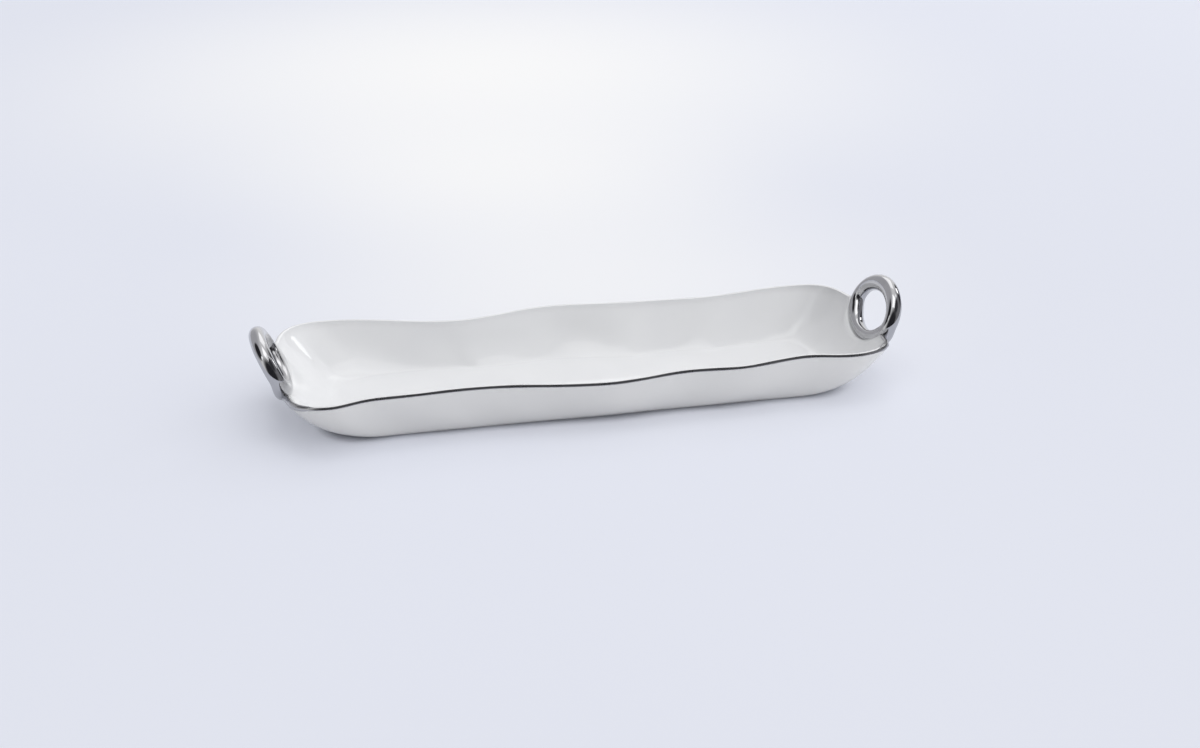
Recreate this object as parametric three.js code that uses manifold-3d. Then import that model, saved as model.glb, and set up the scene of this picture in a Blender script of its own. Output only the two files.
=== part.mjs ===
import * as THREE from 'three';
import Module from 'manifold-3d';

// A long porcelain cracker tray: hand-waved walls, a silver-lustred rim and a looped handle at each end.
// Millimetres. X runs along the tray, -Y is its front, +Z is up and the table is at Z = 0.

// Rim, measured along the middle of the wall before it is waved
const RIM_LENGTH = 338;
const RIM_WIDTH = 112;
const RIM_HEIGHT = 30;
const FRONT_CORNER = 24;
const BACK_CORNER = 32;
const CORNER_DROP = 2.4;

// Foot and floor
const BASE_LENGTH = 280;
const BASE_WIDTH = 76;
const BASE_CORNER = 25;
const FOOT_WIDTH = 5;
const FOOT_RECESS = 1.2;
const FOOT_ROUND = 0.8;
const FLOOR_THICKNESS = 5.5;

// Walls. A belly is the bend of a face's profile, as shares of its flare and of its height. The ends bow
// outwards under the handles, within the run to each side of the middle, and are trimmed below the strand.
const WALL_AT_FLOOR = 4;
const WALL_AT_RIM = 2.8;
const OUTER_BELLY = { out: 0.53, up: 0.08 };
const INNER_BELLY = { out: 0.4, up: 0 };
const END_BOW = 8;
const BOW_RUN = 34;
const SEAT_TRIM = 2.5;

// Waves of the two long walls. Each pair is a crest or a trough: its place as a share of the rim's half
// length, and how far the wall sways towards the back there. The rim lifts by a share of its sway, more in
// full at the ends, and the edge of the floor follows it by another.
const FRONT_WAVE = [
  [-1, -4], [-0.9, -2.4], [-0.74, 1.7], [-0.42, 3], [0.02, -2.6], [0.3, 1.3], [0.45, 0.3], [0.69, 4.2],
  [0.84, 1.6], [1, 2.5],
];
const BACK_WAVE = [
  [-1, 8], [-0.81, 4.7], [-0.36, -4.1], [-0.04, 1.6], [0.3, -1.1], [0.5, -2], [0.82, 1.7], [1, 6.5],
];
const RIM_LIFT = 0.35;
const END_LIFT = 0.7;
const FLOOR_SWAY = 0.5;

// Handles: an oval loop of rod, seated on the trimmed end wall and leaning outwards
const HANDLE_ACROSS = 50.8;
const HANDLE_RISE = 30.4;
const HANDLE_ROD = 8.6;
const ROD_SWELL = 0.3;
const HANDLE_EGG = 0.08;
const HANDLE_LEAN = THREE.MathUtils.degToRad(27);
const SEAT_INSET = 1.6;
const SEAT_DROP = 9.4;

// Lustre band on the crown of the rim, and the clearance between pieces that touch
const BAND_HEIGHT = 1.1;
const SEAT_GAP = 0.3;

// Facets
const END_STEPS = 8;
const CORNER_STEPS = 10;
const SIDE_STEPS = 36;
const WALL_LEVELS = 7;
const BAND_SIDES = 7;
const HANDLE_STEPS = 56;
const ROD_SIDES = 14;

// Where the middle of a handle's lower strand sits
const SEAT_X = RIM_LENGTH / 2 - SEAT_INSET;
const SEAT_Z = RIM_HEIGHT - SEAT_DROP;

const porcelain = new THREE.MeshStandardMaterial({ color: 0xf1f1f2, roughness: 0.15, metalness: 0 });
const lustre = new THREE.MeshStandardMaterial({ color: 0xc8c9cc, roughness: 0.08, metalness: 1 });

const wasm = await Module();
wasm.setup();

// Half of a rounded rectangle, walked from the middle of the left end along the front to the middle of the
// right end. A station is a plan point with its outward normal.
function frontStations(halfLength, halfWidth, corner) {
  const endRun = halfWidth - corner;
  const sideRun = halfLength - corner;
  const stations = [];
  const add = (x, y, angle) => {
    stations.push({ x, y, normal: new THREE.Vector3(Math.cos(angle), Math.sin(angle), 0) });
  };
  for (let i = 0; i < END_STEPS; i += 1) {
    add(-halfLength, -endRun * (i + 0.5) / END_STEPS, Math.PI);
  }
  for (let i = 0; i <= CORNER_STEPS; i += 1) {
    const angle = Math.PI * (1 + i / CORNER_STEPS / 2);
    add(-sideRun + corner * Math.cos(angle), -endRun + corner * Math.sin(angle), angle);
  }
  for (let i = 1; i < SIDE_STEPS; i += 1) {
    add(sideRun * (2 * i / SIDE_STEPS - 1), -halfWidth, -Math.PI / 2);
  }
  for (let i = 0; i <= CORNER_STEPS; i += 1) {
    const angle = Math.PI * (i / CORNER_STEPS - 1) / 2;
    add(sideRun + corner * Math.cos(angle), -endRun + corner * Math.sin(angle), angle);
  }
  for (let i = END_STEPS - 1; i >= 0; i -= 1) {
    add(halfLength, -endRun * (i + 0.5) / END_STEPS, 0);
  }
  return stations;
}

// The whole outline, counterclockwise from above: the back is built as a front, mirrored and walked back.
function outline(length, width, frontCorner, backCorner, inset = 0) {
  const build = (corner) => frontStations(length / 2 - inset, width / 2 - inset, corner - inset);
  const mirror = new THREE.Vector3(1, -1, 1);
  const back = build(backCorner)
    .map(({ x, y, normal }) => ({ x, y: -y, normal: normal.clone().multiply(mirror) }));
  return [...build(frontCorner), ...back.reverse()];
}

// Sway of a long wall at a share of its half length, easing from each crest to the next trough.
function swayAt(wave, share) {
  const after = Math.max(1, wave.findIndex(([place]) => place >= share));
  const [fromPlace, fromSway] = wave[after - 1];
  const [toPlace, toSway] = wave[after];
  const ease = THREE.MathUtils.smoothstep(share, fromPlace, toPlace);
  return THREE.MathUtils.lerp(fromSway, toSway, ease);
}

// The middle of a handle's lower strand at a plan point of the end, up to the loop's sides.
function seatAt(x, y) {
  const share = Math.min(1, Math.abs(2 * y / HANDLE_ACROSS));
  const rise = HANDLE_RISE / 2 * (1 - Math.sqrt(1 - share * share));
  const out = SEAT_X + rise * Math.sin(HANDLE_LEAN);
  return new THREE.Vector3(Math.sign(x) * out, y, SEAT_Z + rise * Math.cos(HANDLE_LEAN));
}

// The crown of the rim, station by station, with the seat under a handle where that lies lower. From one
// long wall to the other, the waves blend across the width of the handle.
function rimCrown() {
  return outline(RIM_LENGTH, RIM_WIDTH, FRONT_CORNER, BACK_CORNER).map(({ x, y, normal }) => {
    const place = 2 * x / RIM_LENGTH;
    const towardsBack = THREE.MathUtils.smoothstep(y, -HANDLE_ACROSS / 2, HANDLE_ACROSS / 2);
    const wander = THREE.MathUtils.lerp(swayAt(FRONT_WAVE, place), swayAt(BACK_WAVE, place), towardsBack);
    const turned = 1 - Math.abs(normal.y);
    const lift = THREE.MathUtils.lerp(RIM_LIFT, END_LIFT, turned);
    const height = RIM_HEIGHT + lift * wander - CORNER_DROP * turned;
    const bow = END_BOW * Math.max(0, 1 - (y / BOW_RUN) ** 2) ** 2;
    const sway = (1 - turned) * wander;
    const crown = new THREE.Vector3(x + Math.sign(x) * bow, y + sway, height);
    const seat = seatAt(x, y);
    return { crown, normal, sway, seat: seat.z < height ? seat : null };
  });
}

// A face of the wall from its foot to its top, bent outwards at the belly.
function wallFace(foot, top, belly) {
  const bend = new THREE.Vector3().lerpVectors(foot, top, belly.out);
  bend.z = THREE.MathUtils.lerp(foot.z, top.z, belly.up);
  return new THREE.QuadraticBezierCurve3(foot, bend, top);
}

// The share of a face at which it reaches a height: the root of the curve's quadratic in z.
function reachTo(face, z) {
  const square = face.v0.z - 2 * face.v1.z + face.v2.z;
  const half = face.v1.z - face.v0.z;
  return (Math.sqrt(half * half + square * (z - face.v0.z)) - half) / square;
}

// Joins a run of loops into one closed solid. The two ends are capped by a ladder of faces across the loop,
// or the last loop is joined to the first.
function skin(loops, closed = false) {
  const size = loops[0].length;
  const index = [];
  const runs = closed ? loops.length : loops.length - 1;
  for (let run = 0; run < runs; run += 1) {
    const here = run * size;
    const there = (run + 1) % loops.length * size;
    for (let i = 0; i < size; i += 1) {
      const next = (i + 1) % size;
      index.push(here + i, here + next, there + next);
      index.push(here + i, there + next, there + i);
    }
  }
  if (!closed) {
    const last = (loops.length - 1) * size;
    for (let i = 0; i < size / 2 - 1; i += 1) {
      const [a, b, c, d] = [i, i + 1, size - 2 - i, size - 1 - i];
      index.push(a, c, b, a, d, c);
      index.push(last + a, last + b, last + c, last + a, last + c, last + d);
    }
  }
  const geometry = new THREE.BufferGeometry();
  const positions = loops.flat().flatMap((point) => point.toArray());
  geometry.setAttribute('position', new THREE.Float32BufferAttribute(positions, 3));
  geometry.setIndex(index);
  return geometry;
}

function toManifold(geometry) {
  return new wasm.Manifold(new wasm.Mesh({
    numProp: 3,
    vertProperties: new Float32Array(geometry.attributes.position.array),
    triVerts: new Uint32Array(geometry.index.array),
  }));
}

// A geometry with the cutters taken out of it.
function cutBy(geometry, cutters) {
  const solid = cutters.reduce((rest, cutter) => rest.subtract(toManifold(cutter)), toManifold(geometry));
  const { vertProperties, triVerts } = solid.getMesh();
  const cut = new THREE.BufferGeometry();
  cut.setAttribute('position', new THREE.Float32BufferAttribute(vertProperties, 3));
  cut.setIndex(new THREE.Uint32BufferAttribute(triVerts, 1));
  return cut;
}

// The loop of rod at one end (-1 left, 1 right), grown by a clearance where it is used as a cutter.
function handleLoop(end, grow = 0) {
  const up = new THREE.Vector3(end * Math.sin(HANDLE_LEAN), 0, Math.cos(HANDLE_LEAN));
  const facing = new THREE.Vector3(0, 1, 0).cross(up);
  const middle = (angle) => {
    const across = HANDLE_ACROSS / 2 * Math.cos(angle) * (1 - HANDLE_EGG * Math.sin(angle));
    const rise = HANDLE_RISE / 2 * (1 + Math.sin(angle));
    return new THREE.Vector3(end * SEAT_X, across, SEAT_Z).addScaledVector(up, rise);
  };
  const step = 2 * Math.PI / HANDLE_STEPS;
  const loops = [];
  for (let i = 0; i < HANDLE_STEPS; i += 1) {
    const angle = i * step;
    const along = middle(angle + step / 2).sub(middle(angle - step / 2)).normalize();
    const outward = facing.clone().cross(along);
    const radius = HANDLE_ROD / 2 + ROD_SWELL * Math.sin(angle) + grow;
    loops.push(Array.from({ length: ROD_SIDES }, (_, side) => {
      const turn = 2 * Math.PI * side / ROD_SIDES;
      return middle(angle)
        .addScaledVector(outward, radius * Math.cos(turn))
        .addScaledVector(facing, radius * Math.sin(turn));
    }));
  }
  return skin(loops, true);
}

// The tray: from the recess under its foot, round the foot, up the outside, over the rim and down inside.
function trayBody(rim) {
  const level = (inset, z) => outline(BASE_LENGTH, BASE_WIDTH, BASE_CORNER, BASE_CORNER, inset)
    .map(({ x, y }) => new THREE.Vector3(x, y, z));
  const faces = (feet, side, belly) => rim.map(({ crown, normal, seat }, i) => {
    const top = crown.clone()
      .addScaledVector(normal, side * WALL_AT_RIM / 2)
      .setZ(crown.z - BAND_HEIGHT - SEAT_GAP);
    const face = wallFace(feet[i], top, belly);
    const reach = seat ? reachTo(face, seat.z - SEAT_TRIM) : 1;
    return (share) => face.getPoint(share * reach);
  });
  const outerFeet = level(0, FOOT_ROUND);
  const innerFeet = level(WALL_AT_FLOOR, FLOOR_THICKNESS);
  innerFeet.forEach((foot, i) => {
    foot.y += FLOOR_SWAY * rim[i].sway;
  });
  const loops = [level(FOOT_WIDTH + FOOT_RECESS, FOOT_RECESS), level(FOOT_WIDTH, 0), level(FOOT_ROUND, 0)];
  const outside = faces(outerFeet, 1, OUTER_BELLY);
  const inside = faces(innerFeet, -1, INNER_BELLY);
  for (let i = 0; i <= WALL_LEVELS; i += 1) {
    loops.push(outside.map((at) => at(i / WALL_LEVELS)));
  }
  for (let i = WALL_LEVELS; i >= 0; i -= 1) {
    loops.push(inside.map((at) => at(i / WALL_LEVELS)));
  }
  return skin(loops);
}

// A lustre band: a half-round bead on the crown of one long rim, from handle to handle.
function rimBand(stations) {
  const first = stations.findIndex(({ seat }) => !seat) - 1;
  const last = stations.findLastIndex(({ seat }) => !seat) + 1;
  return skin(stations.slice(first, last + 1).map(({ crown, normal, seat }) => (
    Array.from({ length: BAND_SIDES + 1 }, (_, side) => {
      const turn = Math.PI * side / BAND_SIDES;
      const point = (seat ?? crown).clone().addScaledVector(normal, -WALL_AT_RIM / 2 * Math.cos(turn));
      point.z -= BAND_HEIGHT * (1 - Math.sin(turn));
      return point;
    }))));
}

function addPiece(name, geometry, material) {
  geometry.computeVertexNormals();
  const mesh = new THREE.Mesh(geometry, material);
  mesh.name = name;
  tray.add(mesh);
}

const tray = new THREE.Group();
tray.name = 'cracker_tray';

const rim = rimCrown();
const half = rim.length / 2;
const seats = [handleLoop(-1, SEAT_GAP), handleLoop(1, SEAT_GAP)];

addPiece('tray_body', cutBy(trayBody(rim), seats), porcelain);
addPiece('front_rim_band', cutBy(rimBand(rim.slice(0, half)), seats), lustre);
addPiece('back_rim_band', cutBy(rimBand(rim.slice(half)), seats), lustre);
addPiece('left_handle', handleLoop(-1), lustre);
addPiece('right_handle', handleLoop(1), lustre);

export default tray;
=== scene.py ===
"""Dresses the cracker tray: glazed porcelain, a silver-lustred rim and loop handles, in a plain studio."""
import math

import bpy
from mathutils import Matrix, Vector, noise


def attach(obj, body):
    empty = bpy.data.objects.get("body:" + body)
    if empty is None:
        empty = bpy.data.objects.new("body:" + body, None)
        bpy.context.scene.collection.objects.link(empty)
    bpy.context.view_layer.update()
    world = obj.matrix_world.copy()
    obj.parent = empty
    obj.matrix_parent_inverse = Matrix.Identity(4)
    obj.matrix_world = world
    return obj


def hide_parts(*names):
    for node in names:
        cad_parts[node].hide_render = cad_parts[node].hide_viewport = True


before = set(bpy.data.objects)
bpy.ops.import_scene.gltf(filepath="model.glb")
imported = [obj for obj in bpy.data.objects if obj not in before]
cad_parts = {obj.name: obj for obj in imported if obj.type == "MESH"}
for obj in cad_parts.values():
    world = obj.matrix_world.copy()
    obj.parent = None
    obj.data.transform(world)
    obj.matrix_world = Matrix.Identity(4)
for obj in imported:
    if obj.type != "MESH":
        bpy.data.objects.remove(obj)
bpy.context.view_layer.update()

MM = 0.001
UP = Vector((0, 0, 1))

# Rim, in millimetres, along the middle of the wall before it is waved
RIM_LENGTH = 338
RIM_WIDTH = 112
RIM_HEIGHT = 30
FRONT_CORNER = 24
BACK_CORNER = 32
CORNER_DROP = 2.4

# Foot and floor, in millimetres, with the share of the foot's round that is wiped bare of glaze
BASE_LENGTH = 280
BASE_WIDTH = 76
BASE_CORNER = 25
FOOT_WIDTH = 5
FOOT_RECESS = 1.2
FOOT_ROUND = 0.4
BARE_SHARE = 0.3
FLOOR_THICKNESS = 5.5

# Walls, in millimetres. Each face bends at its belly, a share of the flare and of the height: the inner one
# has a crease along the long walls and a soft sweep round the corners, and the floor's edge evens out over
# its border.
WALL_AT_FLOOR = 4
WALL_AT_RIM = 2.8
END_BOW = 8
BOW_RUN = 34
SEAT_TRIM = 2.5
OUTER_BELLY = (0.56, 0.08)
INNER_BELLY = (0.4, 0.0)
CREASED_BELLY = (0.3, 0.12)
FLOOR_BORDER = 8

# Lip, in millimetres: a sponged bevel on the outside and a small round inside, both larger at the corners
LIP_BEVEL = 1.5
LIP_ROUND = 0.9
LIP_TOP = 0.2
BEVEL_FULLNESS = 0.45
CORNER_LIP = 1.7

# Waves of the long rims and of the floor's back edge: place as a share of the half length, and sway towards
# the back in millimetres. The rims rise with their sway, more so at the corners, and the floor's front edge
# follows a share of it.
FRONT_WAVE = (
    (-1, -4), (-0.9, -2.4), (-0.74, 1.7), (-0.42, 3), (0.02, -2.6), (0.3, 1.3), (0.45, 0.3),
    (0.69, 4.2), (0.84, 1.6), (1, 2.5),
)
BACK_WAVE = (
    (-1, 8), (-0.81, 4.7), (-0.36, -4.1), (-0.04, 1.6), (0.3, -1.1), (0.5, -2), (0.82, 1.7), (1, 6.5),
)
BACK_FLOOR_WAVE = (
    (-1, 0), (-0.58, 3.5), (-0.43, 2.6), (-0.38, 0), (-0.28, 0.2), (-0.05, 3), (0.09, 0), (0.25, -4),
    (0.36, -2.2), (0.46, -1.6), (0.59, -4.4), (0.71, -1.5), (1, 0),
)
RIM_LIFT = 0.35
CORNER_LIFT = 0.7
FLOOR_SWAY = 0.5
WAVE_SOFTEN = 0.03

# Hand-pressed hollows and swellings of the long walls: place, and millimetres outwards at their fullest, six
# tenths of the way up. The scale makes the curve of a press reach 1 there.
PRESS_SCALE = 29
FRONT_PRESS = (
    (-1, 0), (-0.72, -1.8), (-0.53, 0.3), (-0.44, -0.3), (-0.29, 0.6), (-0.14, -0.3), (0.1, 2.2),
    (0.36, 0.2), (0.58, 2), (0.82, -1), (1, 0),
)
BACK_PRESS = (
    (-1, 0), (-0.78, 1.5), (-0.57, -0.3), (-0.26, 1.9), (-0.12, 0.7), (0.04, 2.4), (0.23, -0.3), (0.5, 0),
    (1, 0),
)

# Handles, in millimetres: an oval loop of hand-rolled rod, leaning outwards on the dipped end rim
HANDLE_ACROSS = 50.8
HANDLE_RISE = 30.4
HANDLE_ROD = 8.6
ROD_SWELL = 0.3
HANDLE_EGG = 0.08
HANDLE_LEAN = math.radians(27)
SEAT_INSET = 1.6
SEAT_DROP = 9.4
ROLL_LUMP = 0.16
ROLL_LENGTH = 14

# Clay added to the loops, in millimetres: luted round the outside of the lower strand, smoothed into the
# inside above each foot, wiped thinner between the feet, and fuller under the crown. Three shares of a loop's
# half height, from its middle, say where the lute is full and where the wiping and the fill begin.
LUTE_DEPTH = 2.3
LUTE_TURN = math.radians(122)
LUTE_FULL = 0.625
GUSSET = 1.4
GUSSET_TURN = math.radians(38)
GUSSET_RUN = math.radians(42)
GUSSET_WIPE = 0.5
WIPE_START = 0.5
CROWN_FILL = 1
CROWN_START = 0.375

# Lustre film on the lip, in millimetres: its height, how far it beds into the glaze, how far it laps down the
# outer wall, at the front corners towards the handles too, and how much its brushed edge wavers
FILM = 0.12
FILM_BED = 0.3
FILM_LAP = 0.25
LAP_AT_HANDLE = 3.6
FILM_WAVER = 0.2
WAVER_LENGTH = 18

# Share of the lip that the film covers: 1 is the crown, 2 the foot of the inner round. It wavers by another
# line of the noise than the lap does.
FILM_COVER = 0.55
COVER_AT_HANDLE = 1.9
COVER_WAVER = 0.12
COVER_LINE = Vector((0, 7, 0))

# How soon a form changes as the rim turns from a long wall into a corner, and where the film begins to widen
CORNER_EASE = 4
FILM_WIDENS = 0.125

# Steps of the meshes. Those of the inner wall crowd towards the floor, and the floor's border has steps at
# shares of its width.
END_STEPS = 20
CORNER_STEPS = 18
SIDE_STEPS = 120
WALL_STEPS = 20
WALL_CROWDING = 1.5
BORDER_SHARES = (0.1, 0.3, 1)
LIP_STEPS = 7
FILM_STEPS = 12
FOOT_STEPS = 4
ROD_STEPS = 160
ROD_SIDES = 40

# The photograph's camera: lens and frame width in millimetres, its aim, its distance and its two angles
LENS = 66
FRAME_WIDTH = 36
CAMERA_AIM = (10.4, 0, 8.7)
CAMERA_DISTANCE = 1252
CAMERA_TURN = math.radians(13.24)
CAMERA_RISE = math.radians(22.78)

# Sizes of the materials' patterns, in millimetres: flow and orange peel of the glaze, sand of the bare foot,
# clouds of the lustre and of the paper
FLOW_LENGTH = 38
PEEL_LENGTH = 2.6
SAND_LENGTH = 0.7
LUSTRE_CLOUD = 9
PAPER_CLOUD = 900

# Roughness of the silver lustre, from its sharpest to its dullest: dipped on the loops, brushed on the rim
DIPPED_GLOSS = (0.04, 0.12)
BRUSHED_GLOSS = (0.22, 0.34)

# Studio floor, in metres, with painted pools of light behind the tray: middle, reach, share of white
FLOOR_REACH = 6
PAINTED_LIGHT_POOLS = (
    ((0.07, 0.7, 0), 0.5, 0.9),
    ((0.03, 0.42, 0), 0.26, 0.7),
    ((0.04, 0.17, 0), 0.3, 0.6),
)

# Share of the paper's colour that it gives off as a painted glow, and the reach from the tray within which
# less of it paints shade
PAINTED_GLOW_SHARE = 0.33
PAINTED_SHADE_REACH = 0.005

# Ways to the room's soft light, with its colour there
ROOM_LIGHTS = (
    ((0.63, 0, 0.78), "#F6F6F6"),
    ((0, -0.94, 0.34), "#A2A2A2"),
    ((0, 0.94, 0.34), "#7C7C7C"),
    ((0, 0, 1), "#505050"),
)

# Ways to the darker parts of the room that the gloss mirrors, each with the cosines from its edge to its
# full shade: the back left, the right, the camera's side, and gaps on the right, the left and high in front
ROOM_SHADES = (
    ((-0.6, 0.72, 0.34), 0.6, 0.9, "#C4C4C8"),
    ((0.94, -0.08, 0.34), 0.55, 0.9, "#88888C"),
    ((-0.19, -0.92, 0.34), 0.36, 0.8, "#303034"),
    ((0.82, 0.51, 0.26), 0.93, 0.97, "#404044"),
    ((-0.77, 0.28, 0.57), 0.9, 0.955, "#303034"),
    ((0.42, -0.24, 0.875), 0.88, 0.96, "#404044"),
)

# Soft boxes: name, place, aim and size in metres, and power in watts
LAMPS = (
    ("overhead_light", (0.1, 0.15, 2.2), (0, 0, 0), (1.2, 1.2), 4.8),
    ("back_right_light", (0.6, 1.7, 1.4), (0, 0, 0.02), (0.9, 1.3), 2.6),
    ("streak_light", (1.52, 1.0, 0.86), (-0.15, 0.04, 0.02), (0.3, 0.46), 1.3),
    ("right_light", (1.09, 0.51, 1.6), (0, 0, 0.02), (0.25, 0.5), 0.3),
    ("left_light", (-1.5, -0.13, 1.26), (0, 0, 0.02), (0.2, 0.5), 0.5),
)

SEAT_X = RIM_LENGTH / 2 - SEAT_INSET
SEAT_Z = RIM_HEIGHT - SEAT_DROP


def linear(code):
    """An sRGB hex colour as linear RGBA."""
    channels = [int(code[i:i + 2], 16) / 255 for i in (1, 3, 5)]
    return [c / 12.92 if c <= 0.04045 else ((c + 0.055) / 1.055) ** 2.4 for c in channels] + [1]


def add_node(tree, kind, inputs=None, **settings):
    """Adds a node with its settings, and fills its inputs with values or with other nodes' outputs."""
    made = tree.nodes.new(kind)
    for name, value in settings.items():
        setattr(made, name, value)
    for name, value in (inputs or {}).items():
        if isinstance(value, bpy.types.NodeSocket):
            tree.links.new(value, made.inputs[name])
        else:
            made.inputs[name].default_value = value
    return made


def new_material(name):
    """An empty node material and its tree."""
    material = bpy.data.materials.new(name)
    material.use_nodes = True
    material.node_tree.nodes.clear()
    return material, material.node_tree


def per_mm(size):
    """Texture scale at which one feature of a pattern is that many millimetres long."""
    return 1 / (size * MM)


def ease(share):
    """Smooth step from 0 to 1."""
    share = min(1, max(0, share))
    return share * share * (3 - 2 * share)


def mix(a, b, share):
    """The number at a share of the way from one to another."""
    return a + (b - a) * share


def bezier(a, b, c, share):
    """The point at a share of a bend from a to c, drawn towards b."""
    return a.lerp(b, share).lerp(b.lerp(c, share), share)


# Shape of the tray

def front_stations(half_length, half_width, corner):
    """Half a rounded rectangle, from the middle of the left end along the front to the right end's middle:
    plan points with their outward normals."""
    end_run = half_width - corner
    side_run = half_length - corner
    stations = []

    def add(x, y, angle):
        stations.append((Vector((x, y, 0)), Vector((math.cos(angle), math.sin(angle), 0))))

    for i in range(END_STEPS):
        add(-half_length, -end_run * (i + 0.5) / END_STEPS, math.pi)
    for i in range(CORNER_STEPS + 1):
        angle = math.pi * (1 + i / CORNER_STEPS / 2)
        add(-side_run + corner * math.cos(angle), -end_run + corner * math.sin(angle), angle)
    for i in range(1, SIDE_STEPS):
        add(side_run * (2 * i / SIDE_STEPS - 1), -half_width, -math.pi / 2)
    for i in range(CORNER_STEPS + 1):
        angle = math.pi * (i / CORNER_STEPS - 1) / 2
        add(side_run + corner * math.cos(angle), -end_run + corner * math.sin(angle), angle)
    for i in reversed(range(END_STEPS)):
        add(half_length, -end_run * (i + 0.5) / END_STEPS, 0)
    return stations


def outline(length, width, front_corner, back_corner, inset=0):
    """The whole rounded rectangle, counterclockwise from above."""
    front = front_stations(length / 2 - inset, width / 2 - inset, front_corner - inset)
    back = front_stations(length / 2 - inset, width / 2 - inset, back_corner - inset)
    flip = Vector((1, -1, 1))
    return front + [(point * flip, normal * flip) for point, normal in reversed(back)]


def sway_at(wave, share):
    """Sway of a long wall at a share of its half length, easing from each crest to the next trough."""
    share = min(wave[-1][0], max(wave[0][0], share))
    for (place_a, sway_a), (place_b, sway_b) in zip(wave, wave[1:]):
        if share <= place_b:
            return mix(sway_a, sway_b, ease((share - place_a) / (place_b - place_a)))
    return wave[-1][1]


def soft_sway(wave, share):
    """The sway averaged over a short stretch, so that the gloss runs on without a break."""
    spread = [share + WAVE_SOFTEN * (i - 3) / 3 for i in range(7)]
    return sum(sway_at(wave, place) for place in spread) / len(spread)


def seat_height(y):
    """The height of a handle's lower strand at a distance from the tray's middle line."""
    share = min(1, abs(2 * y / HANDLE_ACROSS))
    rise = HANDLE_RISE / 2 * (1 - math.sqrt(1 - share * share))
    return SEAT_Z + rise * math.cos(HANDLE_LEAN)


class RimStation:
    """One place on the rim: its crown, outward normal, how far it has turned from the long wall, thickness to
    each side of the crown, the press of the wall below, the sway of the floor's edge and, where a handle sits
    below the crown, the height at which the wall is trimmed to carry it."""

    def __init__(self, point, normal):
        sideways = abs(normal.y)
        self.normal = normal
        place = 2 * point.x / RIM_LENGTH
        towards_back = ease(0.5 + point.y / HANDLE_ACROSS)
        wander = mix(soft_sway(FRONT_WAVE, place), soft_sway(BACK_WAVE, place), towards_back)
        self.sway = sideways * wander
        self.round = 1 - sideways
        lift = mix(RIM_LIFT, CORNER_LIFT, self.round)
        height = RIM_HEIGHT + lift * wander - CORNER_DROP * self.round
        bow = END_BOW * max(0, 1 - (point.y / BOW_RUN) ** 2) ** 2
        self.crown = point + Vector((math.copysign(bow, point.x), self.sway, height))
        self.outer = WALL_AT_RIM / 2 - FILM
        self.inner = self.outer * mix(1, CORNER_LIP, self.round)
        press = FRONT_PRESS if point.y < 0 else BACK_PRESS
        self.press = normal * sideways * soft_sway(press, place)
        self.floor_sway = FLOOR_SWAY * self.sway
        if point.y > 0:
            self.floor_sway = sideways * soft_sway(BACK_FLOOR_WAVE, place)
        seat = seat_height(point.y)
        self.seat = seat - SEAT_TRIM if seat < height else None

    def at(self, out, up):
        """A point of the station's upright section: distance out from the crown and up from it."""
        return self.crown + self.normal * out + UP * up

    def lip(self, turn, sink=FILM):
        """A point over the lip: up the outer bevel from the wall (0) to the crown (1), down the inner round
        to the wall (2), under the film or on it."""
        out = self.outer - sink
        back = sink - self.inner
        crown = self.at(back * LIP_TOP, -sink)
        if turn > 1:
            return bezier(crown, self.at(back, -sink), self.at(back, -LIP_ROUND), turn - 1)
        drop = LIP_BEVEL * mix(1, CORNER_LIP, self.round)
        return bezier(self.at(out, -drop), self.at(out * BEVEL_FULLNESS, -sink), crown, turn)


class WallFace:
    """One face of the wall at a station: bent at its belly from its foot to the lip, or to a handle's seat,
    and pressed in or out by hand."""

    def __init__(self, foot, station, turn, belly):
        top = station.lip(turn)
        seat = station.seat
        self.foot = foot
        self.press = station.press
        self.bend = foot.lerp(top, belly[0])
        self.bend.z = mix(foot.z, top.z, belly[1])
        self.top = top
        self.reach = 1
        if seat:
            square = foot.z - 2 * self.bend.z + top.z
            half = self.bend.z - foot.z
            self.reach = (math.sqrt(half * half + square * (seat - foot.z)) - half) / square

    def at(self, share):
        """The point at a share of the way up the face."""
        pressed = self.press * PRESS_SCALE * share ** 3 * (1 - share) ** 2
        return bezier(self.foot, self.bend, self.top, share * self.reach) + pressed

    def down(self):
        """The way down the face from its top."""
        return (self.bend - self.top).normalized()


RIM = [RimStation(*station) for station in outline(RIM_LENGTH, RIM_WIDTH, FRONT_CORNER, BACK_CORNER)]
HALF = len(RIM) // 2


def base_level(inset, height):
    """A loop of the base's outline, drawn in by an inset, at a height."""
    loop = outline(BASE_LENGTH, BASE_WIDTH, BASE_CORNER, BASE_CORNER, inset)
    return [point + UP * height for point, _ in loop]


OUTER_FEET = base_level(0, FOOT_ROUND)
INNER_FEET = base_level(WALL_AT_FLOOR, FLOOR_THICKNESS)
for foot_point, station in zip(INNER_FEET, RIM):
    foot_point.y += station.floor_sway
OUTER_FACES = [WallFace(foot, at, 0, OUTER_BELLY) for foot, at in zip(OUTER_FEET, RIM)]
INNER_FACES = []
for foot_point, station in zip(INNER_FEET, RIM):
    turned = ease(CORNER_EASE * station.round)
    belly = [mix(crease, soft, turned) for crease, soft in zip(CREASED_BELLY, INNER_BELLY)]
    INNER_FACES.append(WallFace(foot_point, station, 2, belly))


# Meshes

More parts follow.
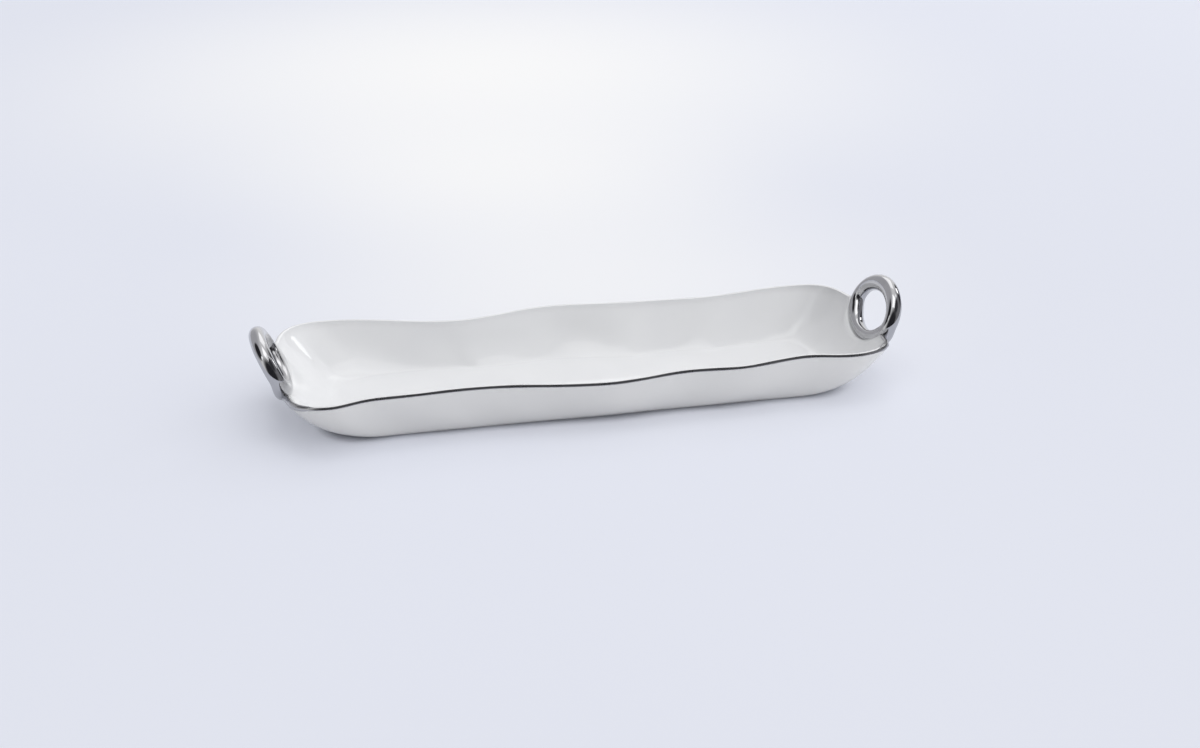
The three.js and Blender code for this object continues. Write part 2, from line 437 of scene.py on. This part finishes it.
def skin(name, loops, closed=False):
    """A closed mesh through a run of loops, in millimetres, with a flat cap at each of its ends."""
    size = len(loops[0])
    faces = []
    for run in range(len(loops) if closed else len(loops) - 1):
        here = run * size
        there = (run + 1) % len(loops) * size
        for i in range(size):
            after = (i + 1) % size
            faces.append((here + i, here + after, there + after, there + i))
    if not closed:
        last = (len(loops) - 1) * size
        faces.append(tuple(reversed(range(size))))
        faces.append(tuple(range(last, last + size)))
    mesh = bpy.data.meshes.new(name)
    mesh.from_pydata([point * MM for loop in loops for point in loop], [], faces)
    mesh.shade_smooth()
    piece = bpy.data.objects.new(name, mesh)
    bpy.context.scene.collection.objects.link(piece)
    return piece


def tray_body():
    """The porcelain, section by section: under the foot, up the outside, over the lip, down to the floor."""
    loops = [
        base_level(FOOT_WIDTH + FOOT_RECESS + FLOOR_BORDER, FOOT_RECESS),
        base_level(FOOT_WIDTH + FOOT_RECESS, FOOT_RECESS),
    ]
    for i in range(FOOT_STEPS + 1):
        turn = math.pi / 2 * i / FOOT_STEPS
        loops.append(base_level(FOOT_WIDTH - FOOT_ROUND * math.sin(turn), FOOT_ROUND * (1 - math.sin(turn))))
    for i in range(FOOT_STEPS):
        turn = math.pi / 2 * i / FOOT_STEPS
        loops.append(base_level(FOOT_ROUND * (1 - math.sin(turn)), FOOT_ROUND * (1 - math.cos(turn))))
    for i in range(WALL_STEPS):
        loops.append([face.at(i / WALL_STEPS) for face in OUTER_FACES])
    for i in range(2 * LIP_STEPS + 1):
        turn = i / LIP_STEPS
        loops.append([
            outer.at(1).lerp(inner.at(1), turn / 2) if station.seat else station.lip(turn)
            for station, outer, inner in zip(RIM, OUTER_FACES, INNER_FACES)
        ])
    for i in reversed(range(WALL_STEPS)):
        loops.append([face.at((i / WALL_STEPS) ** WALL_CROWDING) for face in INNER_FACES])
    floor = base_level(WALL_AT_FLOOR + FLOOR_BORDER, FLOOR_THICKNESS)
    for share in BORDER_SHARES:
        loops.append([foot.lerp(border, share) for foot, border in zip(INNER_FEET, floor)])
    return skin("glazed_tray", loops)


def rim_band(name, stations, faces):
    """The lustre film on the lip of one long rim, brushed from handle to handle along its outer bevel. It is
    wider at the front corners, where the brush came round from the loops."""
    free = [i for i, station in enumerate(stations) if not station.seat]
    run = range(free[0] - 1, free[-1] + 2)
    distance = 0
    loops = []
    for i in run:
        station = stations[i]
        distance += (station.crown - stations[i - 1].crown).length if i > run[0] else 0
        place = Vector((distance / WAVER_LENGTH, 0, 0))
        lap = FILM_LAP + FILM_WAVER * noise.noise(place)
        cover = FILM_COVER
        if station.crown.y < 0:
            widen = ease(CORNER_EASE * (station.round - FILM_WIDENS))
            cover = mix(FILM_COVER, COVER_AT_HANDLE, widen)
            lap = mix(lap, LAP_AT_HANDLE, widen * station.round)
        cover += COVER_WAVER * noise.noise(place + COVER_LINE)
        down = faces[i].down() * lap
        over = [station.lip(cover * k / FILM_STEPS, 0) for k in range(FILM_STEPS + 1)]
        under = [station.lip(cover * k / FILM_STEPS, FILM + FILM_BED) for k in range(FILM_STEPS + 1)]
        ring = [over[0] + down] + over + under[::-1] + [under[0] + down]
        loops.append(ring[::-1])
    return skin(name, loops)


def handle(name, end):
    """A loop of hand-rolled rod at one end (-1 left, 1 right), slightly lumpy as rolled clay is, and the
    clay that joins it to the wall."""
    lean_up = Vector((end * math.sin(HANDLE_LEAN), 0, math.cos(HANDLE_LEAN)))
    facing = Vector((0, 1, 0)).cross(lean_up)
    seat = Vector((end * SEAT_X, 0, SEAT_Z))

    def middle(angle):
        """The middle of the rod at an angle round the loop, with the crown at a quarter turn."""
        across = HANDLE_ACROSS / 2 * math.cos(angle) * (1 - HANDLE_EGG * math.sin(angle))
        rise = HANDLE_RISE / 2 * (1 + math.sin(angle))
        return seat + Vector((0, across, 0)) + lean_up * rise

    def gusset_at(angle):
        """Clay on the inside of the loop: above each of its feet, less between them, and under the crown."""
        height = math.sin(angle)
        feet = ease(1 - abs(math.asin(height) + GUSSET_TURN) / GUSSET_RUN)
        wiped = GUSSET_WIPE * ease((-height - WIPE_START) / (1 - WIPE_START))
        filled = CROWN_FILL * ease((height - CROWN_START) / (1 - CROWN_START))
        return GUSSET * (feet - wiped) + filled

    loops = []
    step = 2 * math.pi / ROD_STEPS
    for i in range(ROD_STEPS):
        angle = i * step
        along = (middle(angle + step / 2) - middle(angle - step / 2)).normalized()
        inward = facing.cross(along)
        radius = HANDLE_ROD / 2 + ROD_SWELL * math.sin(angle) - ROLL_LUMP
        lute_here = LUTE_DEPTH * ease(-math.sin(angle) / LUTE_FULL)
        gusset_here = gusset_at(angle)
        loop = []
        for side in range(ROD_SIDES):
            turn = 2 * math.pi * side / ROD_SIDES
            way = inward * math.cos(turn) + facing * math.sin(turn)
            lump = ROLL_LUMP * noise.noise((middle(angle) + way * radius) / ROLL_LENGTH)
            lute = lute_here * max(0, math.cos(turn - end * LUTE_TURN)) ** 2
            gusset = gusset_here * max(0, math.cos(turn)) ** 2
            loop.append(middle(angle) + way * (radius + lump + lute + gusset))
        loops.append(loop)
    return skin(name, loops, closed=True)


# Materials

def glazed_porcelain():
    """Slip-cast porcelain under a clear gloss glaze: a bright neutral white, clear reflections with soft
    edges, a faint ripple where the glaze flowed and a fine orange peel."""
    material, tree = new_material("glazed_porcelain")
    place = add_node(tree, "ShaderNodeTexCoord").outputs["Object"]
    flow = add_node(tree, "ShaderNodeTexNoise", {"Vector": place, "Scale": per_mm(FLOW_LENGTH), "Detail": 2})
    peel = add_node(tree, "ShaderNodeTexNoise", {"Vector": place, "Scale": per_mm(PEEL_LENGTH), "Detail": 1})
    tint = add_node(tree, "ShaderNodeMix", {
        "Factor": flow.outputs["Fac"], 6: linear("#EDEEF1"), 7: linear("#F3F4F6"),
    }, data_type="RGBA")
    gloss = add_node(tree, "ShaderNodeMapRange", {
        "Value": flow.outputs["Fac"], "To Min": 0.06, "To Max": 0.12,
    })
    ripple = add_node(tree, "ShaderNodeBump", {
        "Height": flow.outputs["Fac"], "Distance": 0.25 * MM, "Strength": 0.5,
    })
    skin_bump = add_node(tree, "ShaderNodeBump", {
        "Height": peel.outputs["Fac"], "Distance": 0.012 * MM, "Strength": 0.6,
        "Normal": ripple.outputs["Normal"],
    })
    shader = add_node(tree, "ShaderNodeBsdfPrincipled", {
        "Base Color": tint.outputs[2], "Roughness": gloss.outputs["Result"], "IOR": 1.52,
        "Normal": skin_bump.outputs["Normal"],
    })
    add_node(tree, "ShaderNodeOutputMaterial", {"Surface": shader.outputs["BSDF"]})
    return material


def bare_bisque():
    """Porcelain wiped clean of glaze on the foot ring: dull, a little warmer, with a fine sandy grain."""
    material, tree = new_material("bare_bisque_porcelain")
    place = add_node(tree, "ShaderNodeTexCoord").outputs["Object"]
    grain = add_node(tree, "ShaderNodeTexNoise", {"Vector": place, "Scale": per_mm(SAND_LENGTH), "Detail": 3})
    tint = add_node(tree, "ShaderNodeMix", {
        "Factor": grain.outputs["Fac"], 6: linear("#DCD8D0"), 7: linear("#EFECE6"),
    }, data_type="RGBA")
    bump = add_node(tree, "ShaderNodeBump", {
        "Height": grain.outputs["Fac"], "Distance": 0.05 * MM, "Strength": 0.8,
    })
    shader = add_node(tree, "ShaderNodeBsdfPrincipled", {
        "Base Color": tint.outputs[2], "Roughness": 0.8, "Normal": bump.outputs["Normal"],
    })
    add_node(tree, "ShaderNodeOutputMaterial", {"Surface": shader.outputs["BSDF"]})
    return material


def silver_lustre(name, sharpest, dullest):
    """Silver lustre over glaze, fired: a bright mirror on the dipped loops and a duller one on the brushed
    line, both a little uneven where the lustre lies thinner and the clay beneath is not quite round."""
    material, tree = new_material(name)
    place = add_node(tree, "ShaderNodeTexCoord").outputs["Object"]
    cloud = add_node(tree, "ShaderNodeTexNoise", {
        "Vector": place, "Scale": per_mm(LUSTRE_CLOUD), "Detail": 3,
    })
    tint = add_node(tree, "ShaderNodeMix", {
        "Factor": cloud.outputs["Fac"], 6: linear("#B0B0B3"), 7: linear("#C2C2C4"),
    }, data_type="RGBA")
    gloss = add_node(tree, "ShaderNodeMapRange", {
        "Value": cloud.outputs["Fac"], "To Min": sharpest, "To Max": dullest,
    })
    bump = add_node(tree, "ShaderNodeBump", {
        "Height": cloud.outputs["Fac"], "Distance": 0.06 * MM, "Strength": 0.5,
    })
    shader = add_node(tree, "ShaderNodeBsdfPrincipled", {
        "Base Color": tint.outputs[2], "Metallic": 1, "Roughness": gloss.outputs["Result"],
        "Normal": bump.outputs["Normal"],
    })
    add_node(tree, "ShaderNodeOutputMaterial", {"Surface": shader.outputs["BSDF"]})
    return material


def studio_paper():
    """Matt studio paper, white with a cool cast and painted pools of light behind the tray. To the camera and
    the gloss it gives off a painted glow of its own, less of it close under the tray, so it looks pale, with
    painted shade and a dark line where the tray stands."""
    material, tree = new_material("studio_paper")
    place = add_node(tree, "ShaderNodeTexCoord").outputs["Object"]
    cloud = add_node(tree, "ShaderNodeTexNoise", {"Vector": place, "Scale": per_mm(PAPER_CLOUD), "Detail": 1})
    paper = add_node(tree, "ShaderNodeMix", {
        "Factor": cloud.outputs["Fac"], 6: linear("#E5E8F3"), 7: linear("#EBEEF9"),
    }, data_type="RGBA")
    tint = paper.outputs[2]
    # Painted pools of light: the paper's colour turns whiter round each of these places behind the tray
    for middle, reach, most in PAINTED_LIGHT_POOLS:
        away = add_node(tree, "ShaderNodeVectorMath", {0: place, 1: middle}, operation="DISTANCE")
        light_pool = add_node(tree, "ShaderNodeMapRange", {
            "Value": away.outputs["Value"], "From Max": reach, "To Min": most, "To Max": 0,
        }, interpolation_type="SMOOTHSTEP")
        tint = add_node(tree, "ShaderNodeMix", {
            "Factor": light_pool.outputs["Result"], 6: tint, 7: linear("#FFFFFF"),
        }, data_type="RGBA").outputs[2]
    # Painted glow and painted shade: the paper gives off its own colour to the camera and the gloss, less of
    # it where ambient occlusion finds the tray near, which darkens the paper there
    path = add_node(tree, "ShaderNodeLightPath")
    seen = add_node(tree, "ShaderNodeMath", {
        0: path.outputs["Is Camera Ray"], 1: path.outputs["Is Glossy Ray"],
    }, operation="ADD")
    open_air = add_node(tree, "ShaderNodeAmbientOcclusion", {"Distance": PAINTED_SHADE_REACH})
    free = add_node(tree, "ShaderNodeMapRange", {
        "Value": open_air.outputs["AO"], "From Min": 0.1, "From Max": 0.9, "To Max": PAINTED_GLOW_SHARE,
    })
    painted_glow_mask = add_node(tree, "ShaderNodeMath", {
        0: seen.outputs[0], 1: free.outputs["Result"],
    }, operation="MULTIPLY")
    bounce = add_node(tree, "ShaderNodeMix", {
        "Factor": path.outputs["Is Diffuse Ray"], 6: tint, 7: linear("#EAEAEC"),
    }, data_type="RGBA")
    sheet = add_node(tree, "ShaderNodeBsdfDiffuse", {"Color": bounce.outputs[2]})
    painted_glow = add_node(tree, "ShaderNodeEmission", {"Color": tint})
    both = add_node(tree, "ShaderNodeMixShader", {
        "Fac": painted_glow_mask.outputs[0], 1: sheet.outputs["BSDF"], 2: painted_glow.outputs["Emission"],
    })
    add_node(tree, "ShaderNodeOutputMaterial", {"Surface": both.outputs["Shader"]})
    return material


# The dressed tray

porcelain = glazed_porcelain()
bisque = bare_bisque()
loop_lustre = silver_lustre("dipped_silver_lustre", *DIPPED_GLOSS)
band_lustre = silver_lustre("brushed_silver_lustre", *BRUSHED_GLOSS)

tray = tray_body()
tray.data.materials.append(porcelain)
tray.data.materials.append(bisque)
bare_top = BARE_SHARE * FOOT_ROUND * MM
for face in tray.data.polygons:
    if all(tray.data.vertices[i].co.z < bare_top for i in face.vertices):
        face.material_index = 1

front_band = rim_band("front_lustre_band", RIM[:HALF], OUTER_FACES[:HALF])
back_band = rim_band("back_lustre_band", RIM[HALF:], OUTER_FACES[HALF:])
left_loop = handle("left_lustre_handle", -1)
right_loop = handle("right_lustre_handle", 1)

front_band.data.materials.append(band_lustre)
back_band.data.materials.append(band_lustre)
left_loop.data.materials.append(loop_lustre)
right_loop.data.materials.append(loop_lustre)

for piece, node, slot in (
    (tray, "tray_body", "glazed_porcelain"),
    (front_band, "front_rim_band", "silver_lustre"),
    (back_band, "back_rim_band", "silver_lustre"),
    (left_loop, "left_handle", "silver_lustre"),
    (right_loop, "right_handle", "silver_lustre"),
):
    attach(piece, "root")
    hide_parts(node)


# Studio

def studio_floor():
    """A wide sheet of paper that the tray stands on."""
    mesh = bpy.data.meshes.new("studio_floor")
    signs = ((-1, -1), (1, -1), (1, 1), (-1, 1))
    corners = [(x * FLOOR_REACH, y * FLOOR_REACH, 0) for x, y in signs]
    mesh.from_pydata(corners, [], [(0, 1, 2, 3)])
    floor = bpy.data.objects.new("studio_floor", mesh)
    bpy.context.scene.collection.objects.link(floor)
    mesh.materials.append(studio_paper())


def soft_box(name, place, aim, size, power):
    """A rectangular studio light at a place, in metres, turned to its aim."""
    light = bpy.data.lights.new(name, "AREA")
    light.shape = "RECTANGLE"
    light.size, light.size_y = size
    light.energy = power
    lamp = bpy.data.objects.new(name, light)
    lamp.location = place
    lamp.rotation_euler = (Vector(aim) - Vector(place)).to_track_quat("-Z", "Y").to_euler()
    bpy.context.scene.collection.objects.link(lamp)


def studio_world():
    """A room that lights the tray softly, mostly from the upper right. What the gloss mirrors is white with
    darker parts, most of all on the camera's side, and the camera itself sees the room pale."""
    world = bpy.data.worlds.new("studio_room")
    world.use_nodes = True
    bpy.context.scene.world = world
    tree = world.node_tree
    tree.nodes.clear()
    way = add_node(tree, "ShaderNodeTexCoord").outputs["Generated"]
    path = add_node(tree, "ShaderNodeLightPath")

    def share_towards(place, edge, full):
        """How far a direction is towards a place, from 0 at one cosine of the angle to it to 1 at another."""
        facing = add_node(tree, "ShaderNodeVectorMath", {0: way, 1: place}, operation="DOT_PRODUCT")
        return add_node(tree, "ShaderNodeMapRange", {
            "Value": facing.outputs["Value"], "From Min": edge, "From Max": full,
        }, interpolation_type="SMOOTHSTEP").outputs["Result"]

    def blended(share, colour, other, blend="MIX"):
        """One colour mixed with a share of another, or with it added."""
        return add_node(tree, "ShaderNodeMix", {
            "Factor": share, 6: colour, 7: other,
        }, data_type="RGBA", blend_type=blend).outputs[2]

    lighting = linear("#000000")
    for place, colour in ROOM_LIGHTS:
        lighting = blended(share_towards(place, 0, 1), lighting, linear(colour), "ADD")
    mirrored = linear("#FFFFFF")
    for place, edge, full, shade in ROOM_SHADES:
        mirrored = blended(share_towards(place, edge, full), mirrored, linear(shade))
    room = blended(path.outputs["Is Glossy Ray"], lighting, mirrored)
    room = blended(path.outputs["Is Camera Ray"], room, linear("#E6E9F2"))
    background = add_node(tree, "ShaderNodeBackground", {"Color": room, "Strength": 1})
    add_node(tree, "ShaderNodeOutputWorld", {"Surface": background.outputs["Background"]})


def photo_camera():
    """The camera at the photograph's place, aimed near the middle of the tray."""
    back = Vector((
        -math.sin(CAMERA_TURN) * math.cos(CAMERA_RISE),
        -math.cos(CAMERA_TURN) * math.cos(CAMERA_RISE),
        math.sin(CAMERA_RISE),
    ))
    data = bpy.data.cameras.new("photo_camera")
    data.sensor_width = FRAME_WIDTH
    data.sensor_fit = "HORIZONTAL"
    data.lens = LENS
    camera = bpy.data.objects.new("photo_camera", data)
    camera.location = (Vector(CAMERA_AIM) + back * CAMERA_DISTANCE) * MM
    camera.rotation_euler = back.to_track_quat("Z", "Y").to_euler()
    bpy.context.scene.collection.objects.link(camera)
    bpy.context.scene.camera = camera


studio_floor()
studio_world()
for lamp_values in LAMPS:
    soft_box(*lamp_values)
photo_camera()
bpy.context.scene.view_settings.view_transform = "Standard"
